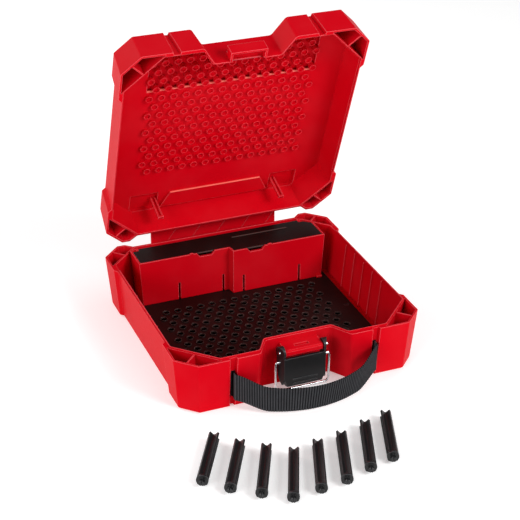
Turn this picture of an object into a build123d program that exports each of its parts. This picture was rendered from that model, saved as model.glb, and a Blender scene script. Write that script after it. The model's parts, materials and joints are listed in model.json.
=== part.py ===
from build123d import *
import os
from math import atan2, degrees, hypot, radians, sin, sqrt

# A hinged storage case for hole saws, standing open. Millimetres, +Z up, front towards -Y.
# The origin is the middle of the case's underside. The lid is modelled closed and turned open.

# --- Case plan, shared by base and lid ---
case_width = 340.0
case_depth = 338.0
corner_cut = 25.0            # leg of the cut across each corner
bumper_leg = 66.5            # corner bumper, measured from the uncut corner
bumper_slope = 4.5           # plan length of the sloping end of a bumper
bumper_step = 4.5            # walls between two bumpers sit this far back
front_step = 0.5             # but the front wall comes almost out to the bumpers again
groove_width = 10.5          # upright groove between it and each bumper, for the webbing
groove_lip = 1.0             # plan length of the sloping sides of the groove
rear_bumper_leg = 36.0
rear_slope = 10.0
rear_step = 9.0              # deeper step behind, where the hinge leaf stands
recess_depth = 28.0          # latch recess, from the front plane
recess_inner_half = 45.5
recess_mouth_half = 62.5
recess_radius = 6.0
corner_radius = 2.5
front_pocket_leg = 48.5      # leg of the hollow triangle behind each front bumper
rear_pocket_leg = 40.0

# --- Shells ---
base_height = 74.0
lid_height = 46.0
base_draft = 6.7             # how far the base walls lean in from rim to floor
lid_draft = 4.8
edge_chamfer = 1.6
wall = 2.8
floor_thickness = 3.0
pocket_wall = 2.5
web = 1.8
rim_gap = 0.3                # between the two rims when shut
tongue_width = 1.2           # raised inner lip of the base rim
tongue_height = 1.7
tongue_short = 71.0          # the lip stops this far ahead of the case's back
fit = 0.3                    # clearance round parts that drop into place
running = 0.05               # radial clearance of a turning pin
seat = 0.02                  # radial clearance of a pin that stays put

# --- Base interior ---
side_ribs_y = [57.0, 28.75, 0.5, -27.0, -55.0]
side_rib_width = 1.6
side_rib_depth = 2.6
side_rib_top = 1.0           # each rib stops this far below the rim
slot_width = 6.0             # webbing slots beside the front bumpers
slot_height = 40.0
slot_bottom = 14.0
slot_margin = 2.0            # slot to the bumper's side of the groove

# --- Peg board ---
board_top = 9.2
board_thickness = 2.8
board_gap = 2.0              # board edge to the walls in front, behind and across corners
board_side_gap = 11.0        # wider strip of floor left bare along both sides
hole_diameter = 7.0
hole_sides = 6
grid_pitch_x = 17.0
grid_pitch_y = 14.9
grid_side_margin = 50.0      # case side to the nearest column, at least
grid_front_margin = 47.6     # case front to the first row
grid_stagger = 4.25          # rows sit this far left and right of centre by turns
board_screw_radius = 1.5
board_screw_head = 3.0
board_screw_play = 0.2
board_screw_sink = 1.8       # counterbore that hides each head
board_screw_length = 5.5
board_post_radius = 4.0
board_screw_side = 33.0      # middle pair of screws, in from the case sides
board_screw_corner = 70.0    # corner screws, in from the case sides
board_screw_front = 35.0
board_screw_rear = 43.0

# --- Lid interior, depths measured from the rim ---
deep_floor = 43.4
middle_floor = 38.4
front_band_depth = 97.5      # deep band along the lid's front, from the case front
front_band_half = 118.0
rear_bays_depth = 48.0       # two deep bays either side of the raised block
rear_bays_half = 125.0
rear_bays_inner = 84.5
rear_block_half = 68.0
rear_block_flare = 81.0
rear_block_short = 22.0      # block's back edge, ahead of the case's back
rear_block_depth = 34.4
boss_radius = 4.25
boss_height = 1.5
boss_sides = 6
panel_recess = 4.8           # sunk panel on the outside of the lid
panel_half = 112.0
panel_front = 107.0
panel_rear = 57.0
panel_radius = 8.0
post_width = 7.5
post_thickness = 1.8
post_x = 90.75
post_short = 36.5            # post's front face, ahead of the case's back
post_tip_depth = 2.5

# --- Keeper on the lid, inside the latch recess ---
keeper_half = 25.0
keeper_reach = 13.7
keeper_height = 16.2
keeper_lip = 2.5
keeper_seat = 12.75          # depth at which the wire rests behind the lip
keeper_groove = 7.2
keeper_hollow = 9.5

# --- Hinge ---
hinge_behind = 0.2           # rod axis behind the case's back
hinge_rise = 29.7            # rod axis above the lid's rim
lid_open = 69.2              # degrees from shut to the modelled pose
leaf_half = 95.0
leaf_thickness = 3.0
leaf_stand_off = 5.2         # leaf face to the rim of the rear wall
leaf_drop = 34.0             # leaf's lower edge, below the base's rim
knuckle_radius = 4.2
knuckle_gap = 0.4
knuckle_count = 9            # leaf and lid knuckles by turns, the leaf has both ends
rod_radius = 2.0
leaf_ridge_pitch = 37.5
leaf_ridge_lean = 19.5
leaf_ridge_width = 1.2
leaf_ridge_height = 0.8
leaf_ridge_drop = 8.0        # ridges run from below to above the base's rim
leaf_ridge_rise = 18.0
leaf_pad_height = 22.0
leaf_pad_width = 20.0
leaf_screw_radius = 1.7
leaf_screw_head = 3.6
leaf_screw_play = 0.2        # wider holes in the leaf than in its pads

# --- Latch ---
bar_half = 26.0
bar_set_back = 7.0
bar_drop = 8.0
bar_height = 12.0
bar_slot_length = 19.0
bar_slot_width = 4.2
bar_slot_depth = 3.0
lever_pivot_back = 12.5      # pin axis behind the case's front
lever_pivot_drop = 13.5      # pin axis below the base's rim
pin_radius = 2.0
arm_inner = 26.6
arm_outer = 33.6
arm_radius = 8.5
lever_length = 48.0          # below the pin's axis
lever_plate = 4.0
lever_plate_drop = 6.5
lever_bevel = 5.0            # sides lean in to the face over this depth and width
lever_bevel_depth = 10.0
lever_taper = 0.84
finger_ridge_half = 17.0
bail_pivot_behind = 0.5      # wire's holes in the lever, from its own pin
bail_pivot_below = 14.3
wire_radius = 1.75
bail_half = 37.25            # centre line of the legs
bail_stub = 5.5              # how far each end reaches into the lever
bail_bend = 5.5
bail_end_bend = 2.2

# --- Parts bin and its cover ---
bin_rise = 3.0               # bin's rim above the rim of the base
bin_front_left = 67.0        # stepped front wall, ahead of the case's back
bin_front_right = 79.0
bin_jog = 2.0
bin_rear_short = 22.0
bin_left_short = 36.5        # ends of the bin, in from the case sides
bin_right_short = 28.5
bin_end_draft = 4.0
bin_rear_draft = 3.0
bin_wall = 2.2
bin_corner_gap = 2.0         # cut rear corners to the slanting walls of the base
bin_slots_x = [-75.5, -9.5, 17.0, 102.5]
bin_slot_width = 3.0
bin_slot_height = 26.0
notch_x = 35.5
notch_width = 18.0
notch_flare = 5.0
notch_depth = 6.0
hump_x = 56.5                # small raised stop beside each notch
hump_width = 5.0
hump_height = 1.4
foot_width = 8.0
foot_height = 3.0
cover_drop = 0.4             # cover's top below the rim of the bin
cover_thickness = 2.0
cover_ledge = 2.0
cover_fit = 0.6              # gap round the cover's edge
cover_corner_swing = 2.8     # more at its cut rear corners, which swing back as it opens
cover_barrel_radius = 2.6
cover_rod_radius = 1.5
cover_ear_width = 3.0
cover_ear_gap = 0.3
cover_half = 121.5           # half the barrel's length, between the ears
cover_line_start = 14.0
cover_line_end = 98.5
cover_line_ahead = 15.0

# --- Carry strap ---
strap_width = 38.0
strap_thickness = 1.8
strap_reach = 44.0           # how far the loop bulges ahead of the case
strap_rest = 0.4             # the slack middle hangs just off the surface
strap_bar_radius = 2.0
strap_bar_length = 48.0

# --- Pegs ---
peg_length = 96.0
peg_fin_reach = 7.9          # four fins in a cross, a groove between each two
peg_fin_width = 2.6
peg_fin_root = 1.0
peg_collar_radius = 7.5
peg_collar_length = 3.0
peg_plug_radius = 3.4
peg_plug_length = 6.2
peg_places = [(-146.1, -223.7, -29.6), (-122.0, -248.1, -28.6), (-95.6, -268.4, -25.9),
              (-68.0, -287.5, -23.6), (-34.8, -282.8, -21.1), (-1.2, -277.9, -20.2),
              (35.9, -267.4, -21.0), (68.8, -258.2, -20.4)]

# --- Worked out from the above ---
half_w = case_width / 2
half_d = case_depth / 2
lid_rim = base_height + rim_gap
side_x = half_w - bumper_step - wall         # inner faces of the straight walls, at the rim
front_y = -half_d + bumper_step + wall
rear_y = half_d - rear_step - wall
tongue_end = half_d - tongue_short
groove_outer = half_w - bumper_leg
groove_inner = groove_outer - groove_width
slot_x = groove_outer - groove_lip - slot_margin - slot_width / 2
recess_wall_y = -half_d + recess_depth
grid_columns = int((case_width - 2 * grid_side_margin) / grid_pitch_x)
grid_first_y = -half_d + grid_front_margin
board_bottom = board_top - board_thickness
board_screw_places = [(side * (half_w - board_screw_side), 2.0) for side in (-1, 1)]
for corner_y in (-half_d + board_screw_front, half_d - board_screw_rear):
    board_screw_places += [(side * (half_w - board_screw_corner), corner_y) for side in (-1, 1)]
middle_front_y = -half_d + front_band_depth
middle_rear_y = half_d - rear_bays_depth
rear_block_rear_y = half_d - rear_block_short
post_y = half_d - post_short
hinge_y = half_d + hinge_behind
hinge_z = lid_rim + hinge_rise
leaf_front_y = half_d - rear_step + leaf_stand_off
leaf_bottom = base_height - leaf_drop
bar_front_y = -half_d + bar_set_back
bar_top = base_height - bar_drop
bar_bottom = bar_top - bar_height
lever_pivot_y = -half_d + lever_pivot_back
lever_pivot_z = base_height - lever_pivot_drop
lever_bottom = lever_pivot_z - lever_length
lever_plate_top = lever_pivot_z - lever_plate_drop
bail_pivot_y = lever_pivot_y + bail_pivot_behind
bail_pivot_z = lever_pivot_z - bail_pivot_below
keeper_front_y = recess_wall_y - keeper_reach
wire_in_keeper_y = keeper_front_y + keeper_lip + keeper_groove / 3
wire_in_keeper_z = lid_rim + keeper_seat + wire_radius + fit
bail_length = hypot(wire_in_keeper_y - bail_pivot_y, wire_in_keeper_z - bail_pivot_z)
knuckle_width = 2 * leaf_half / knuckle_count
bin_top = base_height + bin_rise
bin_bottom = board_top + fit
bin_left_y = half_d - bin_front_left
bin_right_y = half_d - bin_front_right
bin_rear_y = half_d - bin_rear_short
cover_top = bin_top - cover_drop
cover_axis_y = bin_rear_y - cover_barrel_radius
cover_axis_z = cover_top - cover_barrel_radius
grid_rows = int((bin_right_y - bin_wall - hole_diameter - grid_first_y) / grid_pitch_y) + 1


def moved_sides(points, shifts):
    """Corners of a counter-clockwise polygon whose sides each move inward by their own shift."""
    lines = []
    for (x0, y0), (x1, y1), shift in zip(points, points[1:] + points[:1], shifts):
        length = hypot(x1 - x0, y1 - y0)
        nx = -(y1 - y0) / length
        ny = (x1 - x0) / length
        lines.append((nx, ny, nx * x0 + ny * y0 + shift))
    corners = []
    for (a, b, c), (d, e, f) in zip(lines[-1:] + lines[:-1], lines):
        det = a * e - b * d
        corners.append(((c * e - b * f) / det, (a * f - c * d) / det))
    return corners


def mirrored(right_half):
    """A full outline from the points of its right half, listed counter-clockwise from the front."""
    return right_half + [(-x, y) for x, y in reversed(right_half)]


def section(points, z, radii=0.0):
    """A flat face at one height, with its corners rounded by the radii."""
    return Plane.XY.offset(z) * make_face(FilletPolyline(*points, radius=radii, close=True))


def lofted(*sections):
    """A solid with straight sides through the sections."""
    return loft(list(sections), ruled=True)


def block(x0, x1, y0, y1, z0, z1):
    """A plain box between two opposite corners."""
    return Pos((x0 + x1) / 2, (y0 + y1) / 2, (z0 + z1) / 2) * Box(x1 - x0, y1 - y0, z1 - z0)


def rod_x(x0, x1, y, z, radius):
    """A round bar along X."""
    return Pos((x0 + x1) / 2, y, z) * Rot(0, 90, 0) * Cylinder(radius, x1 - x0)


def rod_z(x, y, z0, z1, radius):
    """An upright round bar."""
    return Pos(x, y, (z0 + z1) / 2) * Cylinder(radius, z1 - z0)


def rod_y(x, y0, y1, z, radius):
    """A round bar along Y."""
    return Pos(x, (y0 + y1) / 2, z) * Rot(90, 0, 0) * Cylinder(radius, y1 - y0)


def side_block(side, x0, x1, y0, y1, z0, z1):
    """A box on the left (-1) or right (1), placed by its distances from the middle."""
    near, far = sorted((side * x0, side * x1))
    return block(near, far, y0, y1, z0, z1)


def facing_front(points, y, thickness):
    """A plate of X and Z corners that stands facing the front, from Y backwards."""
    plane = Plane((0, y + thickness, 0), x_dir=(1, 0, 0), z_dir=(0, -1, 0))
    return extrude(plane * make_face(Polyline(*points, close=True)), thickness)


def facing_side(points, x0, x1):
    """A plate of Y and Z corners between two X positions."""
    plate = extrude(Plane.YZ * make_face(Polyline(*points, close=True)), (x1 - x0) / 2, both=True)
    return Pos((x0 + x1) / 2, 0, 0) * plate


def case_outline():
    """Plan of the outer wall at the rim: latch recess, bumpers, cut corners, hinge recess."""
    outer_front = front_y - wall
    outer_side = side_x + wall
    right = [
        (recess_inner_half, recess_wall_y),
        (recess_mouth_half, -half_d + front_step),
        (groove_inner, -half_d + front_step),
        (groove_inner + groove_lip, outer_front),
        (groove_outer - groove_lip, outer_front),
        (groove_outer, -half_d),
        (half_w - corner_cut, -half_d),
        (half_w, -half_d + corner_cut),
        (half_w, -half_d + bumper_leg),
        (outer_side, -half_d + bumper_leg + bumper_slope),
        (outer_side, half_d - bumper_leg - bumper_slope),
        (half_w, half_d - bumper_leg),
        (half_w, half_d - corner_cut),
        (half_w - corner_cut, half_d),
        (half_w - rear_bumper_leg, half_d),
        (half_w - rear_bumper_leg - rear_slope, half_d - rear_step),
    ]
    return mirrored(right)


def case_radii():
    """Corner radii that go with the outline: the recess is softly rounded, the rest crisp."""
    right = [recess_radius, recess_radius] + [0.0] * 4 + [corner_radius] * 2 + [0.0] * 4
    right += [corner_radius] * 2 + [0.0, 0.0]
    return right + right[::-1]


def shell_outline(inset):
    """The outer wall moved inward; the sides of the grooves stay where they are."""
    outline = case_outline()
    shifts = [inset] * len(outline)
    for side in (2, 4):
        shifts[side] = 0.0
        shifts[-2 - side] = 0.0
    return moved_sides(outline, shifts)


def cavity_outline(inset=0.0):
    """Main hollow: the wall's inside, with the corners cut off by the pocket walls."""
    slant = (recess_mouth_half - recess_inner_half) / (recess_depth - front_step)
    grow = wall * (sqrt(1 + slant * slant) - slant)
    mouth = recess_inner_half + slant * (recess_depth - bumper_step)
    right = [
        (recess_inner_half + grow, recess_wall_y + wall),
        (mouth + grow, front_y),
        (side_x - front_pocket_leg, front_y),
        (side_x, front_y + front_pocket_leg),
        (side_x, rear_y - rear_pocket_leg),
        (side_x - rear_pocket_leg, rear_y),
    ]
    outline = mirrored(right)
    return moved_sides(outline, [inset] * len(outline))


def cavity_radii():
    right = [recess_radius, recess_radius, corner_radius, corner_radius, corner_radius, corner_radius]
    return right + right[::-1]


def pocket_outline(front):
    """Right-hand corner pocket between the bumper and the slanting inner wall."""
    thick = pocket_wall * sqrt(2)
    cut = corner_cut + wall * (sqrt(2) - 2)
    if front:
        start_y = front_y + front_pocket_leg
        offset = side_x - start_y + thick
        x = half_w - wall
        y = -half_d + wall
        return [(offset + y, y), (x - cut, y), (x, y + cut), (x, x - offset)]
    start_y = rear_y - rear_pocket_leg
    offset = side_x + start_y + thick
    x = half_w - wall
    y = half_d - wall
    return [(x, offset - x), (x, y - cut), (x - cut, y), (offset - y, y)]


def corner_pockets(z_open, z_end, draft):
    """Four corner hollows inside the outer wall, each split in two by a web across its middle."""
    within = lofted(section(shell_outline(wall), z_open), section(shell_outline(wall + draft), z_end))
    pockets = []
    for front in (True, False):
        outline = pocket_outline(front)
        end = moved_sides(outline, [draft, draft, draft, -draft])
        hollow = lofted(section(outline, z_open), section(end, z_end)) & within
        diagonal = -45 if front else 45
        corner_y = -half_d if front else half_d
        bar = Pos(half_w, corner_y, (z_open + z_end) / 2) * Rot(0, 0, diagonal)
        hollow -= bar * Box(160, web, 2 * abs(z_end - z_open))
        pockets += [hollow, mirror(hollow, Plane.YZ)]
    return pockets


def grid_points():
    """Centres of the staggered grid that pegs, board and lid bosses share."""
    points = []
    for row in range(grid_rows):
        shift = -grid_stagger if row % 2 == 0 else grid_stagger
        y = grid_first_y + row * grid_pitch_y
        for column in range(grid_columns):
            x = (column - (grid_columns - 1) / 2) * grid_pitch_x + shift
            points.append((x, y))
    return points


def grid_prisms(radius, sides, z0, z1):
    """One prism on each grid centre, its flats at the radius."""
    shape = RegularPolygon(radius, sides, major_radius=False, rotation=30)
    outline = Sketch() + [Pos(x, y) * shape for x, y in grid_points()]
    return extrude(Plane.XY.offset(z0) * outline, z1 - z0)


def base_draft_at(z):
    """How far the base wall has leaned in at a height."""
    return base_draft * (base_height - z) / base_height


def lid_draft_at(depth):
    return lid_draft * depth / lid_height


def turned_open(shape):
    """A lid piece carried from shut to the open pose."""
    return shape.rotate(Axis((0, hinge_y, hinge_z), (1, 0, 0)), -lid_open)


def side_ribs():
    """Slender ribs up the inside of both side walls."""
    ribs = []
    for y in side_ribs_y:
        top = side_x + 0.5
        foot = side_x - base_draft_at(floor_thickness) + 0.5
        profile = [(top, base_height - side_rib_top), (foot, floor_thickness - 0.5),
                   (foot - side_rib_depth - 0.5, floor_thickness - 0.5),
                   (top - side_rib_depth - 0.5, base_height - side_rib_top - 1.0)]
        rib = facing_front(profile, y - side_rib_width / 2, side_rib_width)
        ribs += [rib, mirror(rib, Plane.YZ)]
    return ribs


def rim_tongue():
    """Raised lip along the inner edge of the rim, front and sides only."""
    outer = moved_sides(cavity_outline(), [-tongue_width] * 12)
    lip = section(outer, base_height - 0.5, cavity_radii()) - section(
        cavity_outline(), base_height - 0.5, cavity_radii())
    lip = extrude(lip, tongue_height + 0.5)
    return lip - block(-half_w, half_w, tongue_end, half_d, 0, 2 * base_height)


def rim_rebate():
    """Room in the lid rim for the tongue."""
    outer = moved_sides(cavity_outline(), [-tongue_width - fit] * 12)
    room = extrude(section(outer, lid_rim, cavity_radii()), tongue_height + fit)
    return room - block(-half_w, half_w, tongue_end + 2 * fit, half_d, 0, 3 * base_height)


def latch_bar():
    """Bracket standing out of the latch recess: it carries the lever's pin."""
    root = recess_wall_y + base_draft_at(bar_bottom) + 0.5
    profile = [(root, bar_bottom), (lever_pivot_y + 3.5, bar_bottom), (bar_front_y, bar_bottom + 3),
               (bar_front_y, bar_top - 3.5), (bar_front_y + 2, bar_top - 1.5), (root, bar_top)]
    bar = facing_side(profile, -bar_half, bar_half)
    bar -= block(-bar_slot_length / 2, bar_slot_length / 2, bar_front_y + 8,
                 bar_front_y + 8 + bar_slot_width, bar_top - bar_slot_depth, bar_top + 1)
    return bar


def strap_slots():
    """Upright slots through the front wall, one beside each front bumper."""
    half = slot_width / 2
    top = slot_bottom + slot_height
    return [side_block(side, slot_x - half, slot_x + half, -half_d, -half_d + 20, slot_bottom, top)
            for side in (-1, 1)]


def base_shell():
    """The tray of the case: leaning walls, flat floor, corner pockets, ribs and latch bracket."""
    outline = case_outline()
    radii = case_radii()
    body = lofted(
        section(shell_outline(base_draft + edge_chamfer), 0, radii),
        section(shell_outline(base_draft_at(edge_chamfer)), edge_chamfer, radii),
        section(outline, base_height, radii),
    )
    depth_draft = base_draft_at(floor_thickness)
    body -= lofted(section(cavity_outline(depth_draft), floor_thickness, cavity_radii()),
                   section(cavity_outline(), base_height, cavity_radii()))
    body -= corner_pockets(base_height, floor_thickness, depth_draft)
    body += rim_tongue()
    body += side_ribs()
    body += latch_bar()
    body -= rod_x(-bar_half - 1, bar_half + 1, lever_pivot_y, lever_pivot_z, pin_radius + seat)
    body -= strap_slots()
    for x, y in board_screw_places:
        body += rod_z(x, y, floor_thickness - 0.5, board_bottom, board_post_radius)
        body -= rod_z(x, y, floor_thickness - 1.1, board_bottom + 0.1, board_screw_radius + seat)
    for x in leaf_screw_x():
        body += leaf_pad(x)
        body -= leaf_screw_bore(x)
    return body


def leaf_screw_x():
    """Screws sit half way between the ridges of the leaf."""
    return [leaf_ridge_pitch * (i - 1.5) for i in range(4)]


def leaf_screw_z():
    return leaf_bottom + leaf_pad_height / 2


def leaf_pad(x):
    """Pad on the rear wall that the hinge leaf is screwed to."""
    inner = half_d - rear_step - base_draft_at(leaf_bottom) - 1
    return block(x - leaf_pad_width / 2, x + leaf_pad_width / 2, inner, leaf_front_y,
                 leaf_bottom, leaf_bottom + leaf_pad_height)


def leaf_screw_bore(x):
    return rod_y(x, leaf_front_y - 8.1, leaf_front_y + 0.1, leaf_screw_z(), leaf_screw_radius + seat)


def knuckle_spans(on_leaf):
    """X ranges of the knuckles that belong to the leaf or to the lid."""
    spans = []
    for i in range(knuckle_count):
        if (i % 2 == 0) == on_leaf:
            x0 = -leaf_half + i * knuckle_width
            spans.append((x0 + (knuckle_gap / 2 if i else 0),
                          x0 + knuckle_width - (knuckle_gap / 2 if i < knuckle_count - 1 else 0)))
    return spans


def hinge_plate():
    """Upright leaf behind the case, with a barrel along its top edge."""
    top = hinge_z - knuckle_radius - 0.6
    back = leaf_front_y + leaf_thickness
    leaf = block(-leaf_half, leaf_half, leaf_front_y, back, leaf_bottom, top)
    for x0, x1 in knuckle_spans(True):
        leaf += rod_x(x0, x1, hinge_y, hinge_z, knuckle_radius)
        leaf += block(x0, x1, leaf_front_y, back, top - 1, hinge_z)
    leaf -= rod_x(-leaf_half - 1, leaf_half + 1, hinge_y, hinge_z, rod_radius + seat)
    for x in leaf_screw_x():
        leaf -= rod_y(x, leaf_front_y - 1, back + 1, leaf_screw_z(), leaf_screw_radius + leaf_screw_play)
    low = base_height - leaf_ridge_drop
    high = base_height + leaf_ridge_rise
    for i in range(5):
        x = (i - 2) * leaf_ridge_pitch
        ridge = [(x, low), (x + leaf_ridge_width, low),
                 (x + leaf_ridge_width + leaf_ridge_lean, high), (x + leaf_ridge_lean, high)]
        leaf += facing_front(ridge, leaf_front_y - leaf_ridge_height, leaf_ridge_height + 0.5)
    return leaf


def hinge_rod():
    return rod_x(-leaf_half, leaf_half, hinge_y, hinge_z, rod_radius)


def hinge_screws():
    """Pan-head screws through the leaf into its pads."""
    screws = []
    for x in leaf_screw_x():
        back = leaf_front_y + leaf_thickness
        head = rod_y(x, back, back + 2, leaf_screw_z(), leaf_screw_head)
        shank = rod_y(x, leaf_front_y - 7.25, back + 0.25, leaf_screw_z(), leaf_screw_radius)
        screws.append(head + shank)
    return Compound(children=[screw.solid() for screw in screws])


def lid_knuckle(x0, x1):
    """Arm from the lid's rear wall to the hinge rod."""
    depth = hinge_z - lid_rim
    root_y = half_d - rear_step - lid_draft_at(depth) - 1.0
    arm = [(root_y, hinge_z - knuckle_radius), (hinge_y, hinge_z - knuckle_radius),
           (hinge_y, hinge_z + knuckle_radius), (root_y, hinge_z + knuckle_radius + 3)]
    return facing_side(arm, x0, x1) + rod_x(x0, x1, hinge_y, hinge_z, knuckle_radius)


def keeper():
    """Hollow catch in the latch recess, with a lip that the wire drops behind."""
    root = recess_wall_y + lid_draft_at(keeper_height) + 1
    body = block(-keeper_half, keeper_half, keeper_front_y, root, lid_rim, lid_rim + keeper_height)
    groove_y = keeper_front_y + keeper_lip
    return body - block(-keeper_half - 1, keeper_half + 1, groove_y, groove_y + keeper_groove,
                        lid_rim + keeper_seat, lid_rim + keeper_height + 1)


def keeper_hollow_space():
    half = keeper_half - wall
    back = recess_wall_y + wall + 0.5
    return block(-half, half, keeper_front_y + wall, back, lid_rim - 1, lid_rim + keeper_hollow)


def lid_post(x):
    """Channel-section post that keeps the bin cover down when the lid is shut."""
    z0 = lid_rim + post_tip_depth
    z1 = lid_rim + deep_floor + 0.5
    half = post_width / 2
    back = post_y + 4
    post = block(x - half, x + half, post_y, back, z0, z1)
    inner = half - post_thickness
    return post - block(x - inner, x + inner, post_y - 1, back - post_thickness, z0 + 2.5, z1 + 1)


def deep_hollows():
    """Deeper parts of the lid: a band along its front and a bay each side of the rear block."""
    plan = section(cavity_outline(lid_draft_at(deep_floor)), lid_rim + middle_floor - 0.5, cavity_radii())
    deep = extrude(plan, deep_floor - middle_floor + 0.5)
    top = lid_rim + lid_height
    band = block(-front_band_half, front_band_half, -half_d, middle_front_y, 0, top)
    bays = block(-rear_bays_half, rear_bays_half, middle_rear_y, half_d, 0, top)
    bays -= block(-rear_bays_inner, rear_bays_inner, middle_rear_y - 1, half_d, 0, top)
    return [deep & band, deep & bays]


def lid_panel(top):
    """Sunk panel on the outside of the lid."""
    corners = [(-panel_half, -half_d + panel_front), (panel_half, -half_d + panel_front),
               (panel_half, half_d - panel_rear), (-panel_half, half_d - panel_rear)]
    return extrude(section(corners, top - panel_recess, panel_radius), panel_recess + 1)


def rear_block():
    """Raised block at the back of the lid's floor, wider towards the hinge."""
    corners = [(-rear_block_half, middle_rear_y), (rear_block_half, middle_rear_y),
               (rear_block_flare, rear_block_rear_y), (-rear_block_flare, rear_block_rear_y)]
    plan = section(corners, lid_rim + rear_block_depth)
    return extrude(plan, middle_floor - rear_block_depth + 0.5)


def lid_bosses():
    """A boss over each hole of the board, standing on the middle floor or in the front band."""
    foot = lid_rim + middle_floor - boss_height
    zone = block(-half_w, half_w, -half_d, middle_front_y, 0, 3 * base_height)
    short = grid_prisms(boss_radius, boss_sides, foot, lid_rim + middle_floor + 0.5)
    long = grid_prisms(boss_radius, boss_sides, foot, lid_rim + deep_floor + 0.5)
    return [short - zone, long & zone]


def lid_shell():
    """The lid as it stands when shut, with its floor stepped and set with bosses."""
    radii = case_radii()
    top = lid_rim + lid_height
    body = lofted(
        section(case_outline(), lid_rim, radii),
        section(shell_outline(lid_draft_at(lid_height - edge_chamfer)), top - edge_chamfer, radii),
        section(shell_outline(lid_draft + edge_chamfer), top, radii),
    )
    middle_draft = lid_draft_at(middle_floor)
    body += keeper()
    body -= lofted(section(cavity_outline(), lid_rim, cavity_radii()),
                   section(cavity_outline(middle_draft), lid_rim + middle_floor, cavity_radii()))
    body -= keeper_hollow_space()
    body -= corner_pockets(lid_rim, lid_rim + middle_floor, middle_draft)
    body -= deep_hollows()
    body -= lid_panel(top)
    body += rear_block()
    body += lid_bosses()
    body -= rim_rebate()
    for x in (-post_x, post_x):
        body += lid_post(x)
    for x0, x1 in knuckle_spans(False):
        body += lid_knuckle(x0, x1)
    body -= rod_x(-leaf_half, leaf_half, hinge_y, hinge_z, rod_radius + running)
    return body


def board_outline():
    """Board plan: follows the cavity at its own height, with bare floor along both sides."""
    at_board = cavity_outline(base_draft_at(board_top - board_thickness))
    near = board_gap
    wide = board_side_gap
    return moved_sides(at_board, [near, near, near, wide, near, near, near, wide, near, near, near, near])


def peg_board():
    """Flat board with a hole on every grid centre and sunk places for its screws."""
    board = extrude(section(board_outline(), board_bottom), board_thickness)
    board -= grid_prisms(hole_diameter / 2, hole_sides, board_bottom - 1, board_top + 1)
    for x, y in board_screw_places:
        board -= rod_z(x, y, board_bottom - 1, board_top + 1, board_screw_radius + board_screw_play)
        board -= rod_z(x, y, board_top - board_screw_sink, board_top + 1, board_screw_head + fit)
    return board


def peg_board_screws():
    """Low-head screws, sunk flush, that hold the board on its posts."""
    screws = []
    seat_z = board_top - board_screw_sink
    for x, y in board_screw_places:
        head = rod_z(x, y, seat_z, board_top - fit, board_screw_head)
        shank = rod_z(x, y, seat_z + 1 - board_screw_length, seat_z + 1, board_screw_radius)
        screws.append((head + shank).solid())
    return Compound(children=screws)


def rear_corner_sum(inset):
    """X plus Y along the slanting inner wall across a rear corner, moved inward."""
    return side_x + rear_y - rear_pocket_leg - inset * sqrt(2)


def bin_plan(inset, z, corner_extra=0.0):
    """Plan of the parts bin at a height: stepped front, cut rear corners, drafted ends and back."""
    share = (bin_top - z) / (bin_top - bin_bottom)
    left = -half_w + bin_left_short + bin_end_draft * share
    right = half_w - bin_right_short - bin_end_draft * share
    rear = bin_rear_y - bin_rear_draft * share
    diagonal = rear_corner_sum(base_draft_at(min(z, base_height)) + bin_corner_gap)
    jog = bin_jog / 2
    outline = [(left, bin_left_y), (-jog, bin_left_y), (jog, bin_right_y), (right, bin_right_y),
               (right, diagonal - right), (diagonal - rear, rear), (rear - diagonal, rear),
               (left, diagonal + left)]
    corner_inset = inset + corner_extra
    return moved_sides(outline, [inset] * 4 + [corner_inset, inset, corner_inset, inset])


def bin_notch(x):
    """Finger notch in the front rim that bares the edge of the cover."""
    half = notch_width / 2
    corners = [(x - half - notch_flare, bin_top + 1), (x - half, bin_top - notch_depth),
               (x + half, bin_top - notch_depth), (x + half + notch_flare, bin_top + 1)]
    front = bin_left_y if x < 0 else bin_right_y
    return facing_front(corners, front - 1, bin_wall + cover_ledge + 1)


def bin_slot(x):
    """Slot up the front wall, right through it."""
    front = bin_left_y if x < 0 else bin_right_y
    half = bin_slot_width / 2
    back = front + bin_wall + cover_ledge + 1
    return block(x - half, x + half, front - 1, back, bin_bottom - 1, bin_bottom + bin_slot_height)


def bin_ears():
    """Lugs on the back wall that hold the ends of the cover's rod."""
    inner = cover_half + cover_ear_gap
    low = cover_axis_z - cover_barrel_radius - 3
    return [side_block(side, inner, inner + cover_ear_width, cover_axis_y - 3, bin_rear_y, low, bin_top)
            for side in (-1, 1)]


def barrel_room():
    """Back wall lowered between the ears to make room for the cover's barrel."""
    reach = cover_half + cover_ear_gap
    front = cover_axis_y - cover_barrel_radius - 2
    floor = cover_axis_z - cover_barrel_radius - cover_fit
    return block(-reach, reach, front, bin_rear_y + 1, floor, bin_top + 1)


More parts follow.
